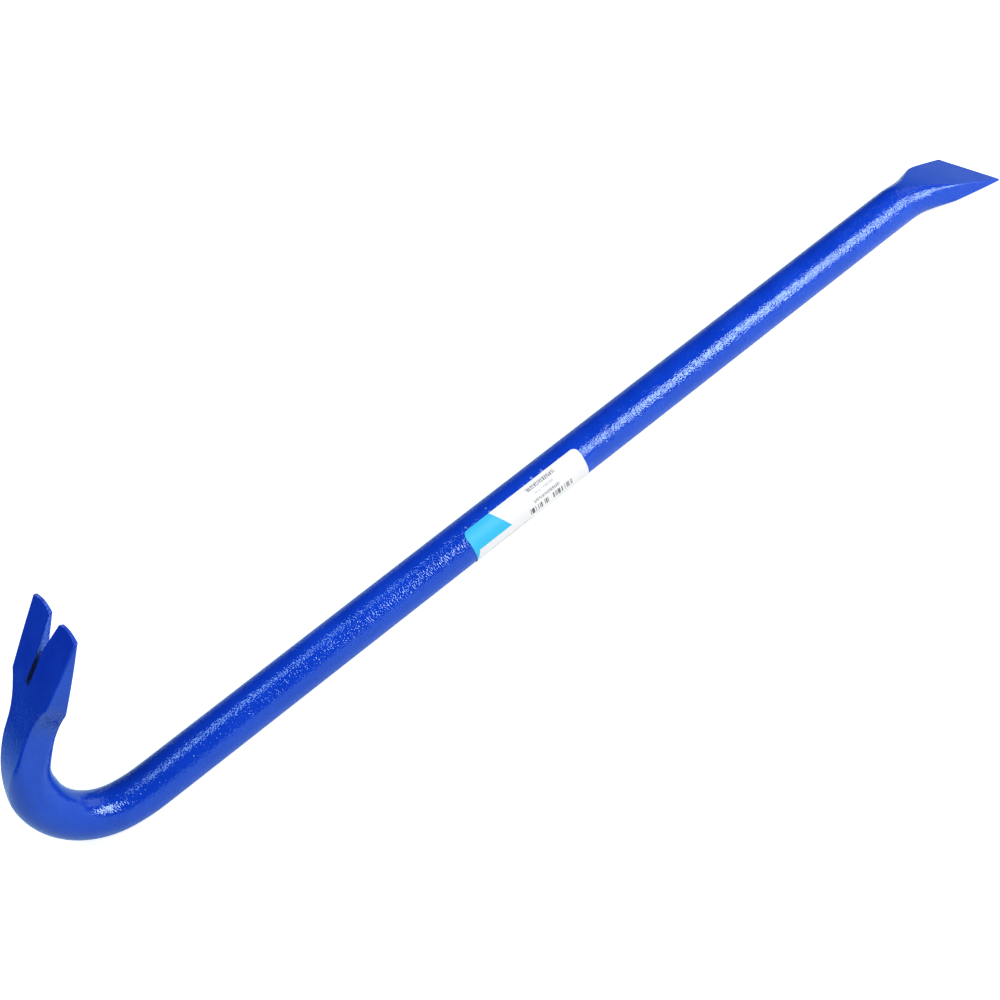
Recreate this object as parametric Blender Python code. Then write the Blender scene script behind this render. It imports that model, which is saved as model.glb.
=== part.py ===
# Gooseneck crowbar, lying as it rests on a floor: hook up, on its heel and its chisel edge.
# One length of round steel bar is forged into a split claw at one end and a chisel at the
# other, then painted, and a paper label is stuck round its shank.
# Metres, +Z up. The bar is drawn with its shank along +X, claw end first, and a parent empty
# then lays it down.

import bpy
import bmesh
from math import atan2, asin, ceil, cos, hypot, pi, radians, sin, sqrt, tan
from mathutils import Vector

# Round stock
bar_diameter = 0.01905
shank_length = 0.4130

# Bends, each with its centreline radius, from the claw to the chisel
claw_straight = 0.0450
claw_set_radius = 0.150
claw_set_angle = radians(5.6)
crook_radius = 0.0293
crook_angle = radians(113.4)
heel_radius = 0.060
heel_angle = radians(12.7)
chisel_bend_radius = 0.130
chisel_bend_angle = radians(16.5)
chisel_straight = 0.0164

# Claw: flattened towards its tips, with shoulders where the full width begins. The slant is
# how much farther from the tips the shoulders lie on the front face than on the back, the
# offset is how far the shoulders were forged off the middle, towards +Y, and the swell is the
# power that the sides curve outwards with.
claw_tip_width = 0.0407
claw_tip_thickness = 0.0010
claw_shoulder_width = 0.0343
claw_shoulder_offset = 0.0011
claw_shoulder_thickness = 0.0082
claw_shoulder_distance = 0.0300
claw_shoulder_slant = 0.0025
claw_flare_length = 0.0170
claw_taper_length = 0.0750
claw_corner_radius = 0.0009
claw_back_flat_runout = (0.0500, 0.0760)
claw_front_flat_runout = (0.0338, 0.0740)
claw_blade_swell = 1.5

# Nail slot: a V mouth whose walls open towards the front face, then a slit to a round root.
# Sides and centres are places across the claw, at the middle of its thickness.
slot_length = 0.0298
slot_mouth_sides = (-0.0063, 0.0040)
slot_throat_sides = (-0.0012, 0.0040)
slot_throat_depth = 0.0140
slot_mouth_draft = radians(28.0)
slot_mouth_front_runout = 0.0060
slit_width = 0.0032
slit_throat_centre = 0.0014
slit_root_centre = 0.0029

# Rounded, bevelled prong ends
prong_end_radius = 0.028
prong_crown = 0.0119
prong_end_bevel = radians(25.0)

# Chisel: flattened to a straight cutting edge
chisel_edge_width = 0.0375
chisel_edge_thickness = 0.0011
chisel_shoulder_width = 0.0299
chisel_shoulder_thickness = 0.0088
chisel_shoulder_distance = 0.0248
chisel_flare_length = 0.0240
chisel_taper_length = 0.0485
chisel_corner_radius = 0.0008
chisel_flat_runout = (0.0211, 0.0474)
chisel_blade_swell = 1.25

# Paper label, wrapped round the side of the shank
label_length = 0.0620
label_width = 0.0250
label_thickness = 0.0002
label_corner_radius = 0.0028
label_from_heel = 0.1580
label_edge_angle = radians(29.5)
glue_gap = 0.0001

# Fineness of the faceted solids
corner_steps = 10
flat_step = 0.0030
bend_step = radians(4.5)
shank_step = 0.040
slit_root_steps = 10
prong_arc_steps = 14
label_corner_steps = 5
label_columns = 10
label_rows = 30

# Trimming: spare length forged past the prong ends, how far cutters stand clear, and how far
# the cutter of the slot's mouth reaches to each face
forging_spare = 0.0010
cutter_clear = 0.0040
mouth_cutter_height = 0.0040

bar_radius = bar_diameter / 2
centreline = [
    (claw_straight, 0.0),
    (claw_set_radius * claw_set_angle, claw_set_angle),
    (crook_radius * crook_angle, crook_angle),
    (heel_radius * heel_angle, heel_angle),
    (shank_length, 0.0),
    (chisel_bend_radius * chisel_bend_angle, -chisel_bend_angle),
    (chisel_straight, 0.0),
]
hook_length = sum(length for length, turn in centreline[:4])
bar_length = sum(length for length, turn in centreline)
claw_heading = -(claw_set_angle + crook_angle + heel_angle)


def clear_scene():
    for obj in list(bpy.data.objects):
        bpy.data.objects.remove(obj, do_unlink=True)


def paint(name, colour, roughness, metallic=0.0):
    material = bpy.data.materials.new(name)
    material.use_nodes = True
    shader = material.node_tree.nodes["Principled BSDF"]
    shader.inputs["Base Color"].default_value = (*colour, 1.0)
    shader.inputs["Roughness"].default_value = roughness
    shader.inputs["Metallic"].default_value = metallic
    material.diffuse_color = (*colour, 1.0)
    return material


def add_object(name, mesh_builder, material=None):
    mesh = bpy.data.meshes.new(name)
    bmesh.ops.recalc_face_normals(mesh_builder, faces=mesh_builder.faces)
    mesh_builder.to_mesh(mesh)
    mesh_builder.free()
    obj = bpy.data.objects.new(name, mesh)
    bpy.context.scene.collection.objects.link(obj)
    if material:
        mesh.materials.append(material)
    return obj


def walk(distance, start, heading, stretches):
    """Point and heading at a distance along stretches of (length, turn)."""
    point = Vector(start)
    for length, turn in stretches:
        step = min(distance, length)
        if turn:
            bend = turn * step / length
            chord = 2 * (length / turn) * sin(bend / 2)
            middle = heading + bend / 2
            heading += bend
        else:
            chord = step
            middle = heading
        point += chord * Vector((cos(middle), 0.0, sin(middle)))
        distance -= step
        if distance <= 0:
            break
    return point, heading


def hook_start():
    """Where the claw tips lie when the shank begins at the origin."""
    heel, _ = walk(hook_length, (0.0, 0.0, 0.0), claw_heading, centreline)
    return -heel


def bar_point(distance):
    if distance < 0:
        point = hook_start()
        ahead = Vector((cos(claw_heading), 0.0, sin(claw_heading)))
        return point + distance * ahead, claw_heading
    return walk(distance, hook_start(), claw_heading, centreline)


def blend(value, low, high):
    """Smooth step from 0 at low to 1 at high."""
    part = min(max((value - low) / (high - low), 0.0), 1.0)
    return part * part * (3 - 2 * part)


def end_half_width(distance, tip_width, shoulder_width, shoulder, flare, swell):
    """Half width of a forged end: a full blade, then a hollow flare down to the round bar."""
    if distance <= shoulder:
        part = max(distance, 0.0) / shoulder
        return (tip_width - (tip_width - shoulder_width) * part ** swell) / 2
    part = max(1 - (distance - shoulder) / flare, 0.0)
    return bar_radius + (shoulder_width / 2 - bar_radius) * part ** 2


def end_half_thickness(distance, tip_thickness, shoulder_thickness, shoulder, taper):
    """Half thickness of a forged end: flat sided to its shoulder, then a wedge up to the bar."""
    if distance <= shoulder:
        return (tip_thickness + (shoulder_thickness - tip_thickness) * distance / shoulder) / 2
    part = min((distance - shoulder) / (taper - shoulder), 1.0)
    return shoulder_thickness / 2 + (bar_radius - shoulder_thickness / 2) * part


def end_corner(distance, corner, runout):
    return corner + (bar_radius - corner) * blend(distance, *runout)


def claw_section(distance):
    """Half thickness, then both half widths and the corner radius, of the front and the back."""
    half_thickness = end_half_thickness(
        distance, claw_tip_thickness, claw_shoulder_thickness, claw_shoulder_distance,
        claw_taper_length)
    front_shoulder = claw_shoulder_distance + claw_shoulder_slant
    faces = []
    for shoulder, runout in (
            (front_shoulder, claw_front_flat_runout),
            (claw_shoulder_distance, claw_back_flat_runout)):
        near, far = (
            end_half_width(
                distance, claw_tip_width, claw_shoulder_width + 2 * offset, shoulder,
                claw_flare_length, claw_blade_swell)
            for offset in (-claw_shoulder_offset, claw_shoulder_offset))
        faces.append((near, far, end_corner(distance, claw_corner_radius, runout)))
    return half_thickness, *faces


def chisel_section(distance):
    """Half thickness, then both half widths and the corner radius, of the top and underside."""
    half_thickness = end_half_thickness(
        distance, chisel_edge_thickness, chisel_shoulder_thickness, chisel_shoulder_distance,
        chisel_taper_length)
    half_width = end_half_width(
        distance, chisel_edge_width, chisel_shoulder_width, chisel_shoulder_distance,
        chisel_flare_length, chisel_blade_swell)
    corner = end_corner(distance, chisel_corner_radius, chisel_flat_runout)
    face = (half_width, half_width, corner)
    return half_thickness, face, face


def bar_section(distance):
    if distance < bar_length / 2:
        return claw_section(distance)
    return chisel_section(bar_length - distance)


def section_outline(half_thickness, top, bottom):
    """Rounded four-sided outline as (across, up) points, a circle where the bar is round."""
    outline = []
    for quarter in range(4):
        side = 1 if quarter in (0, 3) else -1
        which = 1 if side > 0 else 0
        half_width = (top[which] + bottom[which]) / 2
        splay = (top[which] - bottom[which]) / 2
        corner = top[2] if quarter < 2 else bottom[2]
        corner = min(corner, half_width, half_thickness)
        level = 1 if quarter < 2 else -1
        centre_across = side * (half_width - corner)
        centre_up = level * (half_thickness - corner)
        for step in range(corner_steps):
            angle = (quarter + (step + 0.5) / corner_steps) * pi / 2
            up = centre_up + corner * sin(angle)
            across = centre_across + corner * cos(angle) + side * splay * up / half_thickness
            outline.append((across, up))
    return outline


def station_distances():
    """Distances along the bar where its section is set out."""
    distances = [-forging_spare]
    done = 0.0
    for length, turn in centreline:
        if turn:
            radius = abs(length / turn)
            step = min(flat_step, radius * bend_step)
        else:
            step = flat_step
        if length == shank_length:
            step = shank_step
        count = ceil(length / step)
        distances += [done + length * index / count for index in range(count)]
        done += length
    distances.append(done)
    shoulders = [
        claw_shoulder_distance,
        claw_shoulder_distance + claw_shoulder_slant,
        bar_length - chisel_shoulder_distance,
    ]
    for shoulder in shoulders:
        distances = [d for d in distances if abs(d - shoulder) > flat_step / 5]
        distances.append(shoulder)
    return sorted(distances)


def loft_bar():
    mesh = bmesh.new()
    rings = []
    for distance in station_distances():
        point, heading = bar_point(distance)
        up = Vector((-sin(heading), 0.0, cos(heading)))
        across = Vector((0.0, 1.0, 0.0))
        outline = section_outline(*bar_section(distance))
        rings.append([mesh.verts.new(point + a * across + b * up) for a, b in outline])
    for ring, after in zip(rings, rings[1:]):
        for index in range(len(ring)):
            beside = (index + 1) % len(ring)
            mesh.faces.new((ring[index], ring[beside], after[beside], after[index]))
    mesh.faces.new(rings[0])
    mesh.faces.new(rings[-1])
    return mesh


def claw_plane_point(depth, across, height):
    """A point set out from the claw tips: depth into the claw, across it, height to its front."""
    tips = hook_start()
    inward = Vector((cos(claw_heading), 0.0, sin(claw_heading)))
    front = Vector((-sin(claw_heading), 0.0, cos(claw_heading)))
    return tips + depth * inward + Vector((0.0, across, 0.0)) + height * front


def add_claw_cutter(name, outline_at, half_height):
    """Solid through the claw, from its outlines of (depth, across) points at two heights."""
    mesh = bmesh.new()
    for height in (-half_height, half_height):
        outline = outline_at(height)
        ring = [mesh.verts.new(claw_plane_point(d, a, height)) for d, a in outline]
        mesh.faces.new(ring)
    mesh.verts.ensure_lookup_table()
    count = len(outline)
    for index in range(count):
        beside = (index + 1) % count
        low = mesh.verts[index], mesh.verts[beside]
        high = mesh.verts[count + beside], mesh.verts[count + index]
        mesh.faces.new((*low, *high))
    cutter = add_object(name, mesh)
    cutter.hide_render = True
    cutter.display_type = "WIRE"
    return cutter


def slot_mouth_outline(height):
    """V from past the tips to the throat, wider and deeper towards the front face."""
    spread = height * tan(slot_mouth_draft)
    end = slot_throat_depth + slot_mouth_front_runout * (height / mouth_cutter_height + 1) / 2
    points = []
    for tip_side, throat_side, way in zip(slot_mouth_sides, slot_throat_sides, (-1, 1)):
        slope = (throat_side - tip_side) / slot_throat_depth
        for depth in (-cutter_clear, end):
            points.append((depth, tip_side + slope * depth + way * spread))
    near_start, near_end, far_start, far_end = points
    return [near_start, near_end, far_end, far_start]


def slit_outline(height):
    """Narrow slit, begun inside the V, with a round root."""
    root_radius = slit_width / 2
    root_depth = slot_length - root_radius
    start = slot_throat_depth / 2
    lean = (slit_root_centre - slit_throat_centre) / (root_depth - slot_throat_depth)
    start_centre = slit_throat_centre + lean * (start - slot_throat_depth)
    points = [(start, start_centre + root_radius)]
    for step in range(slit_root_steps + 1):
        angle = pi / 2 - pi * step / slit_root_steps
        depth = root_depth + root_radius * cos(angle)
        points.append((depth, slit_root_centre + root_radius * sin(angle)))
    return points + [(start, start_centre - root_radius)]


def prong_end_outline(height):
    """Everything past the two rounded prong ends, which lean back to a sharp front edge."""
    lean = (claw_tip_thickness / 2 - height) * tan(prong_end_bevel)
    reach = claw_tip_width / 2 + cutter_clear
    arc = []
    for step in range(prong_arc_steps + 1):
        across = reach * step / prong_arc_steps
        depth = prong_end_radius - sqrt(prong_end_radius ** 2 - (across - prong_crown) ** 2)
        arc.append((depth + lean, across))
    mirrored = [(depth, -across) for depth, across in reversed(arc[1:])]
    back = -2 * cutter_clear + lean
    return mirrored + arc + [(back, reach), (back, -reach)]


def cut_away(obj, cutter):
    modifier = obj.modifiers.new(cutter.name, "BOOLEAN")
    modifier.operation = "DIFFERENCE"
    modifier.solver = "EXACT"
    modifier.object = cutter


def shade_forging(mesh):
    mesh.shade_smooth()
    mesh.set_sharp_from_angle(angle=radians(35))


def make_forged_bar(material):
    bar = add_object("forged_bar", loft_bar(), material)
    shade_forging(bar.data)
    cutters = [
        add_claw_cutter("slot_mouth_cutter", slot_mouth_outline, mouth_cutter_height),
        add_claw_cutter("slit_cutter", slit_outline, bar_radius + cutter_clear),
        add_claw_cutter("prong_end_cutter", prong_end_outline, cutter_clear),
    ]
    for cutter in cutters:
        cut_away(bar, cutter)
    return [bar, *cutters]


def label_column_places():
    """Places along the label and the margin that its round corners leave there."""
    places = []
    for step in range(label_corner_steps + 1):
        angle = pi / 2 * step / label_corner_steps
        place = label_corner_radius * (1 - cos(angle))
        places.append((place, label_corner_radius * (1 - sin(angle))))
    straight = label_length - 2 * label_corner_radius
    for step in range(1, label_columns):
        places.append((label_corner_radius + straight * step / label_columns, 0.0))
    near_end = places[: label_corner_steps + 1]
    return places + [(label_length - place, margin) for place, margin in reversed(near_end)]


def make_label(material):
    sheet = bmesh.new()
    inner_radius = bar_radius + glue_gap
    columns = []
    for place, margin in label_column_places():
        column = []
        for row in range(label_rows + 1):
            around = margin + (label_width - 2 * margin) * row / label_rows
            angle = label_edge_angle + around / bar_radius
            side = -inner_radius * sin(angle)
            up = inner_radius * cos(angle)
            column.append(sheet.verts.new((label_from_heel + place, side, up)))
        columns.append(column)
    for column, after in zip(columns, columns[1:]):
        for row in range(label_rows):
            sheet.faces.new((column[row], column[row + 1], after[row + 1], after[row]))
    label = add_object("label", sheet, material)
    label.data.shade_smooth()
    shell = label.modifiers.new("paper", "SOLIDIFY")
    shell.thickness = label_thickness
    shell.offset = outward_offset(label.data)
    shell.use_even_offset = True
    return label


def outward_offset(mesh):
    """Solidify offset that grows the sheet away from the bar's axis."""
    face = mesh.polygons[0]
    away = Vector((0.0, face.center.y, face.center.z))
    return 1.0 if face.normal.dot(away) > 0 else -1.0


def resting_tilt():
    """Angle that brings the chisel edge and the curve of the heel onto one level."""
    tip, heading = bar_point(bar_length)
    edge = tip - chisel_edge_thickness / 2 * Vector((-sin(heading), 0.0, cos(heading)))
    across = edge.x
    rise = heel_radius - edge.z
    heel_outside = heel_radius + bar_radius
    return atan2(rise, across) - asin(heel_outside / hypot(across, rise))


def lay_down(pieces):
    """Tilt the bar to its resting level and centre its foot print on the origin."""
    rest = bpy.data.objects.new("resting_frame", None)
    bpy.context.scene.collection.objects.link(rest)
    for piece in pieces:
        piece.parent = rest
    rest.rotation_euler.y = -resting_tilt()
    bpy.context.view_layer.update()
    depsgraph = bpy.context.evaluated_depsgraph_get()
    solid = pieces[0].evaluated_get(depsgraph)
    corners = [solid.matrix_world @ vertex.co for vertex in solid.data.vertices]
    middle_x = (min(c.x for c in corners) + max(c.x for c in corners)) / 2
    floor = min(c.z for c in corners)
    rest.location = (-middle_x, 0.0, -floor)
    bpy.context.view_layer.update()


clear_scene()
blue_paint = paint("blue_paint", (0.008, 0.045, 0.46), 0.35)
white_paper = paint("white_paper", (0.82, 0.84, 0.86), 0.45)
forging = make_forged_bar(blue_paint)
label = make_label(white_paper)
lay_down(forging + [label])
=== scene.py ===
from math import cos, pi, radians, sin

import bpy
from mathutils import Matrix, Vector

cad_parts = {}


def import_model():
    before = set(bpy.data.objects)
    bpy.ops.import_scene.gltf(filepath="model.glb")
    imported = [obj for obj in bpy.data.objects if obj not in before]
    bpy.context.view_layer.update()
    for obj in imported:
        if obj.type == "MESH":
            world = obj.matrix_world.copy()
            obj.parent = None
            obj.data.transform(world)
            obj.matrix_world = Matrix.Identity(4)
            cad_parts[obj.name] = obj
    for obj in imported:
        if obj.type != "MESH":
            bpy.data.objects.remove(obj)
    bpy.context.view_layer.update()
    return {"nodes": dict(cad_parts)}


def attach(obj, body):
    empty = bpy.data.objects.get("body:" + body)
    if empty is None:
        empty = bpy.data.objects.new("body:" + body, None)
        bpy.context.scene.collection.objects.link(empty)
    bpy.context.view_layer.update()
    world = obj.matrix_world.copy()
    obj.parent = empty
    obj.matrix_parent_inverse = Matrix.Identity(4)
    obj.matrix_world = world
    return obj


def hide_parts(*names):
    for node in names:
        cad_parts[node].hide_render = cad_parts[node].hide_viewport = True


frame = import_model()

# Where the round shank lies: its heel end, and how little it slopes up towards the chisel
shank_start = Vector((-0.21011, 0.0, 0.009524))
shank_slope = radians(0.1247)
bar_radius = 0.009525

# How the bar's mesh is cleaned, and how the paint rounds each edge that is sharper than an angle
weld_distance = 0.000002
facet_angle = radians(0.4)
sharp_angle = radians(35)
edge_ease = 0.0002
edge_rows = 3
flat_face_weight = 90

# Paper label on the side of the shank, and the columns, rows and round corners of its mesh
label_from_heel = 0.1580
label_length = 0.0620
label_width = 0.0250
label_thickness = 0.0002
label_corner = 0.0028
label_top_angle = radians(29.5)
glue_gap = 0.0001
label_column = 0.002
label_row = 0.0008
corner_rows = 8

# Claw: the direction from its tips down its length, how far that way the tips are from the
# origin, the direction that its back faces, and the middle of its nail slot across the bar
claw_inward = (-0.6636, 0.0, -0.7481)
claw_tip_depth = 0.05758
claw_back = (-0.7481, 0.0, 0.6636)
slot_middle = 0.002

# Middle of the hammer wrinkles on the claw's neck, and direction of the flat on the chisel
neck_fold = (-0.2245, -0.0128, 0.0735)
chisel_up = (0.4258, 0.0, 0.9048)

# Drops of glue beside the label: distance along the shank, degrees round it and radius. Within
# its core, which is this share of the radius, a drop is at its full strength.
glue_drops = ((0.1965, 23.4, 0.0006), (0.2020, 26.8, 0.0008), (0.1731, 12.7, 0.0005),
              (0.1732, 27.2, 0.0006), (0.1969, 29.0, 0.0006), (0.1610, 21.0, 0.0005))
drop_core = 0.6

# Where the paint changes, each a pair: the change starts at the first and ends at the second.
# Heights above the floor
claw_heights = (0.055, 0.060)
smooth_claw_heights = (0.066, 0.092)
# Places along the bar
chisel_flat_places = (0.200, 0.222)
chisel_worn_places = (0.226, 0.240)
smooth_chisel_places = (0.236, 0.250)
smooth_crook_places = (-0.240, -0.214)
# Places across the bar: the painted glints on the prong ends are strongest between the first and
# the second
glint_from = (0.001, 0.003)
glint_until = (0.007, 0.013)
# Distances from the middle of the slot, from the claw's tips and from the wrinkles
slot_sides = (0.0070, 0.0078)
slit_sides = (0.0035, 0.0045)
end_depths = (0.006, 0.008)
slit_depths = (0.0160, 0.0200)
fold_distances = (0.0035, 0.0075)
# Cosines between the way a face looks and one of the directions above
chisel_flat_facing = (0.95, 0.985)
end_facing = (0.35, 0.6)
back_facing = (0.5, 0.75)
# Levels of a noise, and for the creases how far it is from its average
noise_average = 0.5
middle_levels = (0.3, 0.7)
cloud_levels = (0.35, 0.65)
# Levels of the painted glints on the prong ends
glint_levels = (0.50, 0.64)
# Levels of the patches of painted light on the slot's walls
lit_wall_levels = (0.48, 0.60)
rust_levels = (0.56, 0.62)
crease_levels = (0.015, 0.045)

# Shares of a change: how much of it is left, or how far it goes
# Share of the painted glints on the prong ends outside the places where they are strongest
glint_before, glint_after = 0.25, 0.2
# Share of the painted light on the slot's walls
lit_wall_share = 0.6
crease_share = 0.8
mottle_share = 0.35
# Share of the painted highlight on the prong ends
end_highlight_share = 0.5
glue_share = 0.5
claw_grain, chisel_grain, crook_grain = 0.25, 0.6, 0.4

# Noises in the paint: how many to a metre, and how deep those that shape its surface are
cloud_scale = 60.0
speckle_scale = 1100.0
grain_scale, grain_depth = 1700.0, 0.00020
wave_scale, wave_depth = 450.0, 0.00003
wrinkle_scale, wrinkle_depth = 420.0, 0.0012
grain_stretch = (1.0, 0.70, 0.70)

# Gloss of the paint: roughness of the grain, and what is added where the paint is dull
grain_roughness = (0.06, 0.09)
chisel_flat_dullness = 0.42
chisel_worn_dullness = 0.30
slit_dullness = 0.8
paint_reflection = 0.74
reflection_tint = (0.67, 1.0, 1.0, 1.0)

# Colours of the paint
deep_blue = (0.002, 0.046, 0.565, 1.0)
light_blue = (0.006, 0.062, 0.640, 1.0)
mottle_blue = (0.006, 0.040, 0.46, 1.0)
# Lighter, greener blue: painted reflection on the chisel's upward-facing flat
flat_reflection_blue = (0.004, 0.070, 0.62, 1.0)
# Darker blue: painted shade in the creases of the neck's wrinkles
crease_shade_blue = (0.002, 0.026, 0.38, 1.0)
# Light blue: painted highlight on the outward faces of the prong ends
end_highlight_blue = (0.050, 0.120, 0.66, 1.0)
# Pale blue: painted glints along the edges of the prong ends
glint_blue = (0.20, 0.32, 0.84, 1.0)
# Lighter blue in patches: painted light on the slot's walls
lit_wall_blue = (0.10, 0.23, 0.80, 1.0)
# Near black blue: painted shade down in the slit
slit_shade_blue = (0.002, 0.018, 0.15, 1.0)
rust = (0.060, 0.012, 0.03, 1.0)
dry_glue = (0.45, 0.55, 0.85, 1.0)

# Print on the label, in millimetres from its top corner at the heel end. Each edge fades over
# twice its blur. A slanted edge is its slope, and where it meets the label's top edge.
millimetres_in_metre = 1000.0
slanted_blur = 0.1
straight_blur = 0.12
block_slant, block_rows = (0.55, 14.3), (-1.0, 10.3)
tail_slant, tail_rows = (-0.5, 7.7), (10.2, 16.0)
# Left, right, top and bottom of the thin line and of the strip of bars
thin_line = (8.0, 31.0, 15.2, 15.6)
bar_strip = (29.6, 54.2, 10.2, 13.2)
thin_line_strength = 0.45
# The same four of each greyed line, then the pitch of its letters and its strength
grey_lines = ((32.7, 48.0, 1.6, 3.3, 0.95, 0.9), (35.4, 45.6, 4.6, 5.8, 0.8, 0.45),
              (33.1, 47.1, 7.5, 8.9, 0.9, 0.8))
# Gaps between letters, and strokes within them: cells to a millimetre, then how they fade
letter_ends, gap_share = (0.70, 0.78), 0.1
stroke_columns, stroke_rows = 2.6, 1.7
stroke_levels, stroke_share = (0.30, 0.45), 0.25
bar_columns, bar_level = 3.0, 0.40
bar_fade_places, bar_fade_share = (44.0, 54.0), 0.5

# Paper of the label
paper_white = (0.97, 0.945, 0.90, 1.0)
block_cyan = (0.030, 0.56, 0.87, 1.0)
print_grey = (0.11, 0.11, 0.12, 1.0)
paper_roughness = 0.45
fibre_scale, fibre_strength, fibre_depth = 2500.0, 0.5, 0.00002

# Studio: what the floor and the air send out is 1 to the camera and less to mirrored rays
white = (1.0, 1.0, 1.0, 1.0)
floor_size = 24.0
floor_white = (0.88, 0.88, 0.87, 1.0)
floor_roughness = 0.9
floor_glow_distances, floor_glow_least = (0.3, 1.0), 0.80
floor_in_mirrors, floor_mirror_tint = 0.30, (0.10, 0.80, 1.0, 1.0)
air_in_mirrors, air_dark = 0.02, (0.005, 0.02, 0.06, 1.0)

# Lamps: name, place, aim, width, depth, radiance and colour
lamps = (
    ("key_softbox", (0.62, -0.857, 0.515), (0.62, 0.0, 0.0), 0.56, 0.67, 10.8,
     (1.05, 1.0, 0.95)),
    ("overhead_softbox", (-0.33, -0.174, 0.985), (-0.33, 0.0, 0.0), 0.60, 0.36, 5.5,
     (0.78, 0.96, 1.20)),
    ("left_fill", (-1.15, -0.20, 0.93), (0.0, 0.0, 0.0), 1.0, 1.0, 1.15, (0.65, 0.85, 1.0)),
    ("right_fill", (1.90, 0.0, 0.80), (0.0, 0.0, 0.0), 1.6, 1.2, 0.95, (1.0, 1.0, 1.0)),
    ("back_fill", (0.45, 1.80, 0.45), (0.0, 0.0, 0.0), 1.4, 0.45, 0.45, (0.9, 1.2, 1.2)),
)

# Camera: lens and film width in millimetres, where it stands and which way it is turned
lens_length = 58.739
film_width = 36.0
nearest_seen = 0.01
camera_place = Vector((-0.216572, -0.495588, 0.449084))
camera_right = Vector((0.760992, -0.565669, -0.317662))
camera_up = Vector((0.587951, 0.394359, 0.706253))
camera_ahead = Vector((0.274233, 0.724223, -0.632690))


# Mesh helpers

def only(obj):
    """Selects one object and nothing else."""
    bpy.ops.object.select_all(action="DESELECT")
    obj.select_set(True)
    bpy.context.view_layer.objects.active = obj


def edit(obj):
    """Opens one object's mesh, with all of it selected."""
    only(obj)
    bpy.ops.object.mode_set(mode="EDIT")
    bpy.ops.mesh.select_all(action="SELECT")


def done():
    bpy.ops.object.mode_set(mode="OBJECT")


def shade(obj):
    """Shades one object smooth, apart from its sharp edges."""
    only(obj)
    bpy.ops.object.shade_smooth_by_angle(angle=sharp_angle)


def apply_modifier(obj, kind, **settings):
    modifier = obj.modifiers.new(kind.lower(), kind)
    for name, value in settings.items():
        setattr(modifier, name, value)
    only(obj)
    bpy.ops.object.modifier_apply(modifier=modifier.name)


# Bar: the forged shape, with its cut edges eased as paint leaves them

def make_bar():
    mesh = frame["nodes"]["forged_bar"].data.copy()
    bar = bpy.data.objects.new("painted_bar", mesh)
    bpy.context.scene.collection.objects.link(bar)
    mesh.materials.clear()
    edit(bar)
    bpy.ops.mesh.remove_doubles(threshold=weld_distance)
    bpy.ops.mesh.select_all(action="SELECT")
    bpy.ops.mesh.customdata_custom_splitnormals_clear()
    bpy.ops.mesh.dissolve_limited(angle_limit=facet_angle)
    done()
    apply_modifier(bar, "BEVEL", width=edge_ease, segments=edge_rows, limit_method="ANGLE",
                   angle_limit=sharp_angle, use_clamp_overlap=True)
    shade(bar)
    apply_modifier(bar, "WEIGHTED_NORMAL", mode="FACE_AREA_WITH_ANGLE",
                   weight=flat_face_weight, keep_sharp=True)
    return bar


# Label: a flat sheet with round corners, wrapped round the shank and given its thickness

def make_label():
    bpy.ops.object.select_all(action="DESELECT")
    bpy.ops.mesh.primitive_plane_add(size=1, rotation=(pi / 2, 0.0, 0.0))
    label = bpy.context.object
    label.name = "paper_label"
    label.scale = (label_length, label_width, 1.0)
    bpy.ops.object.transform_apply(location=False, rotation=True, scale=True)
    edit(label)
    bpy.ops.mesh.bevel(affect="VERTICES", offset=label_corner, offset_type="OFFSET",
                       segments=corner_rows)
    for count, step, axis in (
            (label_length / label_column, label_column, Vector((1, 0, 0))),
            (label_width / label_row, label_row, Vector((0, 0, 1)))):
        for index in range(int(-count / 2) + 1, int(count / 2)):
            bpy.ops.mesh.select_all(action="SELECT")
            bpy.ops.mesh.bisect(plane_co=axis * step * index, plane_no=axis)
    done()

    # The print is laid out on the flat sheet, from its top corner at the heel end
    flat = label.data
    layer = flat.uv_layers.new(name="print")
    for loop in flat.loops:
        place = flat.vertices[loop.vertex_index].co
        layer.data[loop.index].uv = (place.x + label_length / 2, label_width / 2 - place.z)

    wrap = bar_radius + glue_gap
    apply_modifier(label, "SIMPLE_DEFORM", deform_method="BEND", deform_axis="X",
                   angle=label_width / wrap)
    middle_angle = label_top_angle + label_width / 2 / wrap
    down = Matrix.Rotation(middle_angle - pi / 2, 4, "X")
    along = Matrix.Rotation(-shank_slope, 4, "Y")
    place = Matrix.Translation((label_from_heel + label_length / 2, -wrap, 0.0))
    turned = along @ down @ place
    label.matrix_world = Matrix.Translation(shank_start) @ turned
    only(label)
    bpy.ops.object.transform_apply(location=True, rotation=True, scale=True)
    apply_modifier(label, "SOLIDIFY", thickness=label_thickness, offset=1.0)
    shade(label)
    return label


# Materials

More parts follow.
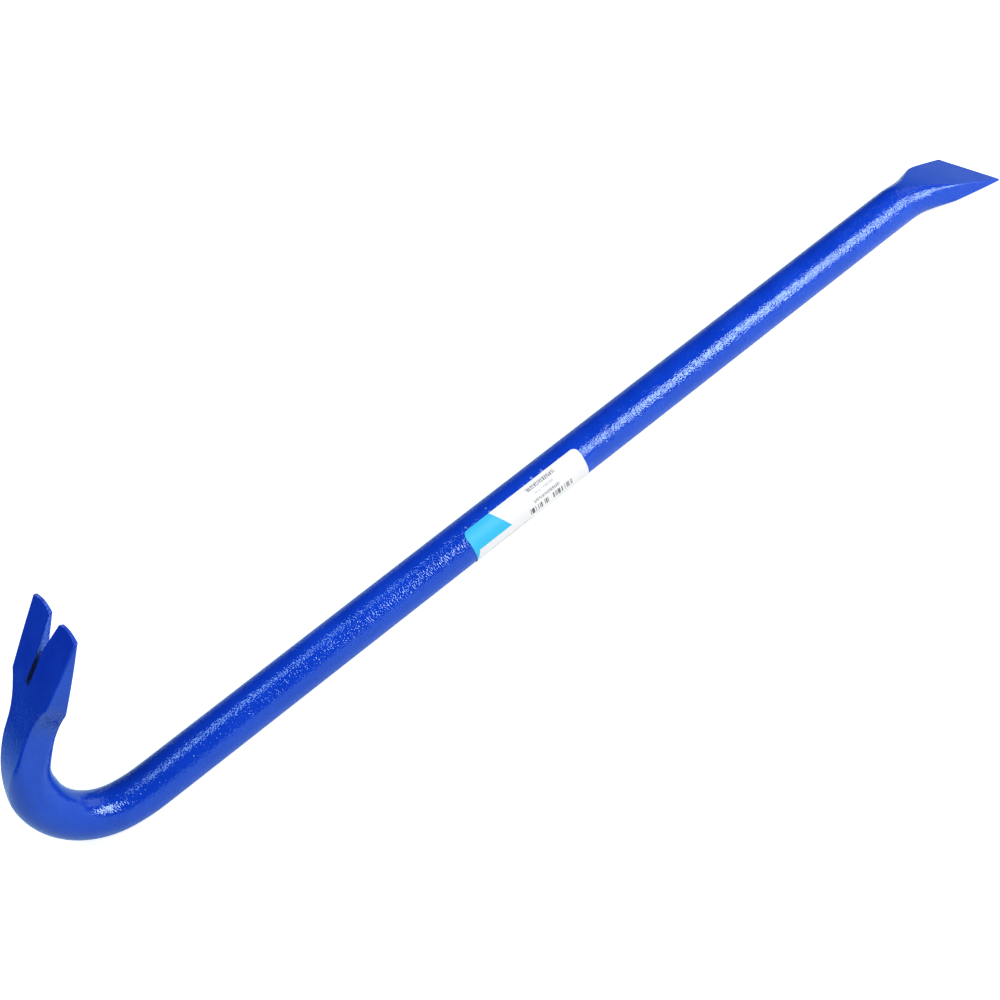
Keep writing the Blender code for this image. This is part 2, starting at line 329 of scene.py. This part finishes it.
class Recipe:
    """Node tree of one material or of the world, written as short lines."""

    def __init__(self, owner):
        owner.use_nodes = True
        self.nodes = owner.node_tree.nodes
        self.links = owner.node_tree.links

    def add(self, kind, inputs=None, **settings):
        node = self.nodes.new("ShaderNode" + kind)
        for name, value in settings.items():
            setattr(node, name, value)
        for name, value in (inputs or {}).items():
            self.feed(node.inputs[name], value)
        return node

    def feed(self, socket, value):
        """Links another node's output to a socket, or sets the socket to a number or colour."""
        if isinstance(value, bpy.types.NodeSocket):
            self.links.new(value, socket)
        else:
            socket.default_value = value

    def feed_last(self, name, inputs):
        """Feeds the node that the tree came with."""
        for socket, value in inputs.items():
            self.feed(self.nodes[name].inputs[socket], value)

    def math(self, operation, *values):
        node = self.add("Math", operation=operation)
        for socket, value in zip(node.inputs, values):
            self.feed(socket, value)
        return node.outputs[0]

    def product(self, first, *others):
        for other in others:
            first = self.math("MULTIPLY", first, other)
        return first

    def largest(self, first, *others):
        for other in others:
            first = self.math("MAXIMUM", first, other)
        return first

    def span(self, value, ramp, start=0.0, end=1.0, smooth=False):
        """Goes from start to end while the value crosses the ramp."""
        node = self.add("MapRange", interpolation_type="SMOOTHSTEP" if smooth else "LINEAR")
        for socket, part in zip(node.inputs, (value, *ramp, start, end)):
            self.feed(socket, part)
        return node.outputs[0]

    def mix(self, share, low, high):
        node = self.add("Mix", data_type="RGBA")
        self.feed(node.inputs[0], share)
        self.feed(node.inputs[6], low)
        self.feed(node.inputs[7], high)
        return node.outputs[2]

    def dot(self, vector, direction):
        node = self.add("VectorMath", {0: vector, 1: direction}, operation="DOT_PRODUCT")
        return node.outputs["Value"]

    def distance(self, place, centre):
        node = self.add("VectorMath", {0: place, 1: centre}, operation="DISTANCE")
        return node.outputs["Value"]

    def noise(self, place, scale, detail, roughness=0.5):
        node = self.add("TexNoise", {"Vector": place, "Scale": scale, "Detail": detail,
                                     "Roughness": roughness})
        return node.outputs[0]

    def bump(self, height, strength, depth, below=None):
        """Relief on top of the relief below."""
        node = self.add("Bump", {"Height": height, "Strength": strength, "Distance": depth})
        if below:
            self.feed(node.inputs["Normal"], below)
        return node.outputs[0]


def find_claw(paint, place, facing, speckle):
    """Shares of the prong ends with their painted highlight and glints, of the slot's walls with
    painted light, and of the slit below them with painted shade.
    """
    y, z = paint.add("SeparateXYZ", {"Vector": place}).outputs[1:]
    claw = paint.span(z, claw_heights)
    depth = paint.math("SUBTRACT", paint.dot(place, claw_inward), claw_tip_depth)

    # Painted highlight on the outward faces of the prong ends, with painted glints along their
    # edges
    outward = paint.math("MULTIPLY", paint.dot(facing, claw_inward), -1.0)
    ends = paint.product(paint.span(outward, end_facing), paint.span(depth, end_depths, 1.0, 0.0),
                         claw)
    glints = paint.product(ends, paint.span(speckle, glint_levels),
                           paint.span(y, glint_from, glint_before, 1.0),
                           paint.span(y, glint_until, 1.0, glint_after))

    # Inside of the nail slot: patches of painted light on its flared walls, and painted shade
    # down in the slit
    across = paint.math("ABSOLUTE", paint.math("SUBTRACT", y, slot_middle))
    backward = paint.math("ABSOLUTE", paint.dot(facing, claw_back))
    inside = paint.product(paint.span(across, slot_sides, 1.0, 0.0),
                           paint.span(backward, back_facing, 1.0, 0.0), claw)
    slit = paint.product(inside, paint.span(depth, slit_depths),
                         paint.span(across, slit_sides, 1.0, 0.0))
    walls = paint.product(paint.math("SUBTRACT", inside, slit),
                          paint.span(speckle, lit_wall_levels, 0.0, lit_wall_share))
    return ends, glints, walls, slit


def find_glue(paint, place):
    """Share of the glue that squeezed out over the label's top edge."""
    drops = []
    for distance, angle, size in glue_drops:
        turn = radians(angle)
        centre = (shank_start.x + distance, shank_start.y - bar_radius * sin(turn),
                  shank_start.z + distance * sin(shank_slope) + bar_radius * cos(turn))
        away = paint.distance(place, centre)
        drops.append(paint.span(away, (size * drop_core, size), 1.0, 0.0))
    return paint.largest(*drops)


def make_paint():
    """Gloss enamel over forged steel: a fine hammered grain that breaks up every highlight."""
    material = bpy.data.materials.new("blue_enamel")
    paint = Recipe(material)
    coordinates = paint.add("TexCoord")
    place = coordinates.outputs["Object"]
    facing = coordinates.outputs["Normal"]
    x, _, z = paint.add("SeparateXYZ", {"Vector": place}).outputs
    speckle = paint.noise(place, speckle_scale, detail=1.0)
    ends, glints, walls, slit = find_claw(paint, place, facing, speckle)
    glue = find_glue(paint, place)
    # Share of the chisel's upward flat, which gets a painted reflection in its colour, less grain
    # and more dullness
    flat = paint.product(paint.span(paint.dot(facing, chisel_up), chisel_flat_facing),
                         paint.span(x, chisel_flat_places, smooth=True))

    # Wrinkles that the hammer left where the neck was set down from the claw, with painted shade
    # darkening their creases
    wrinkle = paint.noise(place, wrinkle_scale, detail=1.0)
    fold = paint.span(paint.distance(place, neck_fold), fold_distances, 1.0, 0.0)
    ridge = paint.math("ABSOLUTE", paint.math("SUBTRACT", wrinkle, noise_average))
    # Painted shade in the creases
    creases = paint.product(paint.span(ridge, crease_levels, crease_share, 0.0), fold)

    # Clouds of blue, then one layer over the other: mottle, painted reflection on the chisel's
    # flat, painted shade in the neck's creases, painted highlight and glints on the prong ends,
    # painted light on the slot's walls, painted shade with rust in the slit, and dried glue
    cloud = paint.noise(place, cloud_scale, detail=3.0, roughness=0.6)
    colour = paint.mix(paint.span(cloud, cloud_levels), deep_blue, light_blue)
    # Painted shade in the slit, with specks of rust
    shade_and_rust = paint.mix(paint.span(speckle, rust_levels), slit_shade_blue, rust)
    layers = ((paint.span(speckle, middle_levels, 0.0, mottle_share), mottle_blue),
              (flat, flat_reflection_blue), (creases, crease_shade_blue),
              (paint.product(ends, end_highlight_share), end_highlight_blue), (glints, glint_blue),
              (walls, lit_wall_blue), (slit, shade_and_rust), (paint.product(glue, glue_share), dry_glue))
    for share, layer in layers:
        colour = paint.mix(share, colour, layer)

    # The ground flats are smoother than the round bar, and duller on the chisel
    amount = paint.product(paint.span(z, smooth_claw_heights, 1.0, claw_grain, smooth=True),
                           paint.span(x, smooth_chisel_places, 1.0, chisel_grain, smooth=True),
                           paint.span(x, smooth_crook_places, crook_grain, 1.0, smooth=True),
                           paint.math("SUBTRACT", 1.0, flat))
    drawn = paint.add("Mapping", {"Vector": place, "Scale": grain_stretch}).outputs[0]
    grain = paint.noise(drawn, grain_scale, detail=0.5)
    wave = paint.noise(place, wave_scale, detail=1.0)
    waves = paint.bump(wave, amount, wave_depth)
    hammered = paint.bump(grain, amount, grain_depth, waves)
    wrinkled = paint.bump(wrinkle, fold, wrinkle_depth, hammered)
    dull = paint.largest(paint.product(flat, chisel_flat_dullness),
                         paint.product(slit, slit_dullness),
                         paint.span(x, chisel_worn_places, 0.0, chisel_worn_dullness,
                                    smooth=True))
    gloss = paint.span(grain, middle_levels, *grain_roughness)
    paint.feed_last("Principled BSDF", {
        "Base Color": colour, "Normal": wrinkled, "Roughness": paint.math("ADD", dull, gloss),
        "Specular IOR Level": paint_reflection, "Specular Tint": reflection_tint})
    return material


def make_paper():
    """Coated paper with a plain cyan block, greyed lines and a strip of made-up bars."""
    material = bpy.data.materials.new("label_paper")
    paper = Recipe(material)
    sheet = paper.add("UVMap", uv_map="print").outputs[0]
    along, around = (paper.math("MULTIPLY", metres, millimetres_in_metre)
                     for metres in paper.add("SeparateXYZ", {"Vector": sheet}).outputs[:2])

    def within(value, low, high):
        rise = paper.span(value, (low - straight_blur, low + straight_blur))
        fall = paper.span(value, (high - straight_blur, high + straight_blur), 1.0, 0.0)
        return paper.product(rise, fall)

    def patch(left, right, top, bottom):
        return paper.product(within(along, left, right), within(around, top, bottom))

    def before(slope, start):
        """Share of the label on the heel's side of a slanted edge."""
        edge = paper.math("MULTIPLY_ADD", around, slope, start)
        return paper.span(paper.math("SUBTRACT", edge, along), (-slanted_blur, slanted_blur))

    def cells(value, count):
        return paper.math("FLOOR", paper.math("MULTIPLY", value, count))

    block = paper.product(before(*block_slant), within(around, *block_rows))
    tail = paper.product(before(*tail_slant), within(around, *tail_rows))
    colour = paper.mix(paper.largest(block, tail), paper_white, block_cyan)

    # Lines of print, greyed, so that they spell nothing
    marks = [paper.product(patch(*thin_line), thin_line_strength)]
    cell = paper.add("CombineXYZ", {0: cells(along, stroke_columns),
                                    1: cells(around, stroke_rows)})
    dice = paper.add("TexWhiteNoise", {"Vector": cell.outputs[0]}, noise_dimensions="2D")
    stroke = paper.span(dice.outputs[0], stroke_levels, stroke_share, 1.0)
    for left, right, top, bottom, pitch, strength in grey_lines:
        letter = paper.math("FRACT", paper.math("DIVIDE", along, pitch))
        gap = paper.span(letter, letter_ends, 1.0, gap_share)
        marks.append(paper.product(patch(left, right, top, bottom), gap, stroke, strength))

    # Strip of bars at random places, which codes nothing
    dice = paper.add("TexWhiteNoise", noise_dimensions="1D")
    paper.feed(dice.inputs["W"], cells(along, bar_columns))
    marks.append(paper.product(patch(*bar_strip),
                               paper.math("GREATER_THAN", dice.outputs[0], bar_level),
                               paper.span(along, bar_fade_places, 1.0, bar_fade_share)))
    colour = paper.mix(paper.largest(*marks), colour, print_grey)

    place = paper.add("TexCoord").outputs["Object"]
    fibre = paper.noise(place, fibre_scale, detail=3.0)
    relief = paper.bump(fibre, fibre_strength, fibre_depth)
    paper.feed_last("Principled BSDF", {
        "Base Color": colour, "Roughness": paper_roughness, "Normal": relief})
    return material


# Studio: white floor, dim room, a large soft key, a lamp over the hook and three weak fills

def add_rays(recipe, in_mirrors):
    """Share of the camera's rays, and the same with a part of the mirrored rays added."""
    rays = recipe.add("LightPath")
    mirrored = recipe.math("MAXIMUM", rays.outputs["Is Glossy Ray"],
                           rays.outputs["Is Transmission Ray"])
    camera_ray = rays.outputs["Is Camera Ray"]
    return camera_ray, recipe.math("MULTIPLY_ADD", mirrored, in_mirrors, camera_ray)


def make_floor():
    bpy.ops.object.select_all(action="DESELECT")
    bpy.ops.mesh.primitive_plane_add(size=floor_size)
    floor = bpy.context.object
    floor.name = "studio_floor"
    material = bpy.data.materials.new("white_floor")
    recipe = Recipe(material)
    camera_ray, seen = add_rays(recipe, floor_in_mirrors)
    place = recipe.add("TexCoord").outputs["Object"]
    away = recipe.add("VectorMath", {0: place}, operation="LENGTH").outputs["Value"]
    glow = recipe.span(away, floor_glow_distances, floor_glow_least, 1.0)
    recipe.feed_last("Principled BSDF", {
        "Base Color": floor_white, "Roughness": floor_roughness, "Specular IOR Level": 0.0,
        "Emission Color": recipe.mix(camera_ray, floor_mirror_tint, white),
        "Emission Strength": recipe.product(seen, glow)})
    floor.data.materials.append(material)


def make_air():
    world = bpy.data.worlds.new("studio_room")
    bpy.context.scene.world = world
    air = Recipe(world)
    seen = add_rays(air, air_in_mirrors)[1]
    air.feed_last("Background", {"Color": air.mix(seen, air_dark, white)})


def add_lamp(name, place, aim, width, depth, radiance, colour):
    lamp = bpy.data.lights.new(name, "AREA")
    lamp.shape = "RECTANGLE"
    lamp.size = width
    lamp.size_y = depth
    lamp.energy = radiance * pi * width * depth
    lamp.color = colour
    obj = bpy.data.objects.new(name, lamp)
    bpy.context.scene.collection.objects.link(obj)
    obj.location = place
    obj.rotation_euler = (Vector(aim) - Vector(place)).to_track_quat("-Z", "Y").to_euler()


def make_camera():
    lens = bpy.data.cameras.new("camera")
    lens.lens = lens_length
    lens.sensor_width = film_width
    lens.clip_start = nearest_seen
    camera = bpy.data.objects.new("camera", lens)
    bpy.context.scene.collection.objects.link(camera)
    turn = Matrix((camera_right, camera_up, -camera_ahead)).transposed().to_4x4()
    camera.matrix_world = Matrix.Translation(camera_place) @ turn
    bpy.context.scene.camera = camera


bpy.context.scene.view_settings.view_transform = "Standard"
make_camera()
make_floor()
make_air()
for lamp in lamps:
    add_lamp(*lamp)

bar = make_bar()
bar.data.materials.append(make_paint())
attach(bar, "root")
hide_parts("forged_bar")

label = make_label()
label.data.materials.append(make_paper())
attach(label, "root")
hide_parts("label")
